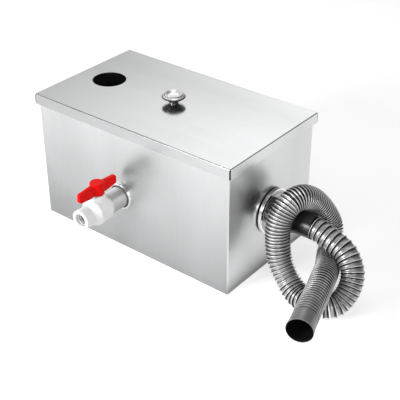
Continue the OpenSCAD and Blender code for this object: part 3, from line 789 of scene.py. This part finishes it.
def makeLidSeal(s):
    bm = bmesh.new()
    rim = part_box("tank_shell")[1]
    size = Matrix.Diagonal((rim[0] + s["clear"], rim[1] + s["clear"], 1, 1))
    place = Matrix.Translation((0, 0, s["low"]))
    bmesh.ops.create_grid(bm, x_segments=1, y_segments=1, size=1.0, matrix=place @ size)
    bmesh.ops.delete(bm, geom=list(bm.faces), context="FACES_ONLY")
    made = bmesh.ops.extrude_edge_only(bm, edges=list(bm.edges))["geom"]
    bmesh.ops.translate(bm, vec=(0, 0, s["high"] - s["low"]), verts=newVerts(made))
    upright = [e for e in bm.edges if e.verts[0].co.z != e.verts[1].co.z]
    bmesh.ops.bevel(bm, geom=upright, offset=s["corner"], offset_type="OFFSET", segments=5, profile=0.5,
                    affect="EDGES", clamp_overlap=True, material=-1)
    bmesh.ops.recalc_face_normals(bm, faces=bm.faces)
    outward = [f.normal.xy.dot(f.calc_center_median().xy) > 0 for f in bm.faces]
    if sum(outward) * 2 < len(outward):
        bmesh.ops.reverse_faces(bm, faces=bm.faces)
    bmesh.ops.solidify(bm, geom=list(bm.faces), thickness=-s["thick"])
    bmesh.ops.recalc_face_normals(bm, faces=bm.faces)
    softenEdges(bm, s["round"], s["sharp"])
    addCornerShadeNoses(bm, s)
    return bm


addPiece("lidSealAndCornerShade", makeLidSeal(sealSet), sealRubber, "trap", "rubber")
print("seal made")


# Drain collar: a flat-faced ring, black in the groove beside the socket

collarSet = {
    "profile": [(20.6, 0.05), (20.8, 0.6), (20.8, 2.6), (20.3, 3.4), (19.6, 3.7), (17.7, 3.9), (17.2, 3.6),
                (17.0, 3.0), (17.0, 1.0), (15.7, 1.0)],
    "steps": 96,
    "round": 0.25,
    "sharp": 30.0,
    "groove": 17.02,
}


def makeCollar(c):
    bm = turnProfile(c["profile"], c["steps"])
    for f in bm.faces:
        f.material_index = 1 if all(v.co.xy.length < c["groove"] * mm for v in f.verts) else 0
    softenEdges(bm, c["round"] * mm, c["sharp"])
    back = Vector(middleOf("drain_ring"))
    back.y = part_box("drain_ring")[1][1]
    bmesh.ops.transform(bm, matrix=axisFrame(back, (0, -1, 0)), verts=bm.verts)
    return bm


collarMesh = makeCollar(collarSet)
drainCollar = addPiece("drainCollar", collarMesh, polishedSteel, "trap", "polished_steel", "drain_ring")
drainCollar.data.materials.append(sealRubber)
print("collar made")


# Floor: pale paper, whiter to the camera, and brighter in the steel away from the tank

floorSet = {
    "size": 8.0,
    "tone": 0.80,
    "mirroredTone": 0.54,
    "rough": 0.9,
    "seenGlow": 0.60,
    "nearGlow": 0.02,
    "sideGlow": (0.172, 0.03, 0.88),  # edge of the tank, reach, glow beyond it
    "frontGlow": (0.0975, 0.26, 0.74),
}


def addStage(name, bm, mat):
    mesh = bpy.data.meshes.new(name)
    bm.to_mesh(mesh)
    bm.free()
    mesh.materials.append(mat)
    o = bpy.data.objects.new(name, mesh)
    scene.collection.objects.link(o)
    return o


def makeFloorPaper(s):
    m, t, surface = emptyMaterial("floorPaper")
    b = t.nodes.new("ShaderNodeBsdfPrincipled")
    setInputs(b, Roughness=s["rough"])
    light = t.nodes.new("ShaderNodeLightPath")
    mirrored = mathNode(t, "MAXIMUM", light.outputs["Is Glossy Ray"], light.outputs["Is Transmission Ray"])
    t.links.new(mapRange(t, mirrored, 0, 1, s["tone"], s["mirroredTone"]), b.inputs["Base Color"])
    axes = objectAxes(t)
    edge, reach, far = s["sideGlow"]
    # painted light in the steel's reflection of the floor: least next to the tank, as painted shade there
    beside = mapRange(t, axes["X"], edge, edge + reach, s["nearGlow"], far)
    edge, reach, far = s["frontGlow"]
    away = mathNode(t, "ABSOLUTE", axes["Y"], 0.0)
    before = mapRange(t, away, edge, edge + reach, s["nearGlow"], far)
    inSteel = mathNode(t, "MULTIPLY", mirrored, mathNode(t, "MAXIMUM", beside, before))
    toCamera = mathNode(t, "MULTIPLY", light.outputs["Is Camera Ray"], s["seenGlow"])
    glow = t.nodes.new("ShaderNodeEmission")
    t.links.new(mathNode(t, "ADD", toCamera, inSteel), glow.inputs["Strength"])
    both = t.nodes.new("ShaderNodeAddShader")
    t.links.new(b.outputs["BSDF"], both.inputs[0])
    t.links.new(glow.outputs["Emission"], both.inputs[1])
    t.links.new(both.outputs["Shader"], surface)
    return m


def makeFloor(s):
    bm = bmesh.new()
    bmesh.ops.create_grid(bm, x_segments=1, y_segments=1, size=s["size"] / 2)
    addStage("floor", bm, makeFloorPaper(s))


# Back card: seen only in the steel, brighter towards its upper right

backCardSet = {
    "y": 2.0,
    "left": -4.0,
    "right": -0.45,
    "top": 4.5,
    "level": 1.5,  # height at which the places below are measured
    "slant": 1.57,
    "dim": (-2.6, 0.46),  # place along the card, glow
    "bright": (-1.15, 1.42),
}


def makeCardPaper(c):
    m, t, surface = emptyMaterial("backCardPaper")
    axes = objectAxes(t)
    rise = mathNode(t, "MULTIPLY", mathNode(t, "SUBTRACT", axes["Z"], c["level"]), c["slant"])
    along = mathNode(t, "ADD", axes["X"], rise)
    (dimPlace, dimGlow), (brightPlace, brightGlow) = c["dim"], c["bright"]
    glow = t.nodes.new("ShaderNodeEmission")
    t.links.new(mapRange(t, along, dimPlace, brightPlace, dimGlow, brightGlow), glow.inputs["Strength"])
    t.links.new(glow.outputs["Emission"], surface)
    return m


def makeBackCard(c):
    wide, high = c["right"] - c["left"], c["top"]
    place = Matrix.Translation((c["left"] + wide / 2, c["y"], high / 2))
    upright = Matrix.Rotation(math.pi / 2, 4, "X")
    size = Matrix.Diagonal((wide / 2, high / 2, 1, 1))
    bm = bmesh.new()
    bmesh.ops.create_grid(bm, x_segments=1, y_segments=1, size=1.0, matrix=place @ upright @ size)
    card = addStage("backCard", bm, makeCardPaper(c))
    card.visible_camera = False
    card.visible_diffuse = False
    card.visible_shadow = False


# Lamps and world

lightSet = {
    "lamps": [  # name, place, target, size, power
        ("overhead", (0.15, -0.1, 2.0), (0.0, 0.0, 0.1), 1.4, 6.0),
        ("leftSide", (-1.9, -0.9, 0.7), (0.0, 0.0, 0.1), 1.2, 12.0),
        ("leftFront", (-0.65, -2.2, 0.85), (0.0, 0.0, 0.1), 0.8, 50.0),
        ("rightFront", (1.7, -1.5, 0.8), (0.2, 0.0, 0.1), 0.8, 14.0),
    ],
    "world": 0.20,
    "seenWorld": 1.0,
}


def makeLamps(lamps):
    for name, place, target, size, power in lamps:
        data = bpy.data.lights.new(name, "AREA")
        data.size = size
        data.energy = power
        lamp = bpy.data.objects.new(name, data)
        aimAt(lamp, place, target)
        scene.collection.objects.link(lamp)


def makeWorld(s):
    world = bpy.data.worlds.new("studio")
    scene.world = world
    world.use_nodes = True
    t = world.node_tree
    t.nodes.clear()
    out = t.nodes.new("ShaderNodeOutputWorld")
    room = t.nodes.new("ShaderNodeBackground")
    room.inputs["Color"].default_value = (1, 1, 1, 1)
    light = t.nodes.new("ShaderNodeLightPath")
    strength = mapRange(t, light.outputs["Is Camera Ray"], 0, 1, s["world"], s["seenWorld"])
    t.links.new(strength, room.inputs["Strength"])
    t.links.new(room.outputs[0], out.inputs["Surface"])


makeFloor(floorSet)
makeBackCard(backCardSet)
makeLamps(lightSet["lamps"])
makeWorld(lightSet)
scene.view_settings.view_transform = "Standard"
print("stage set")
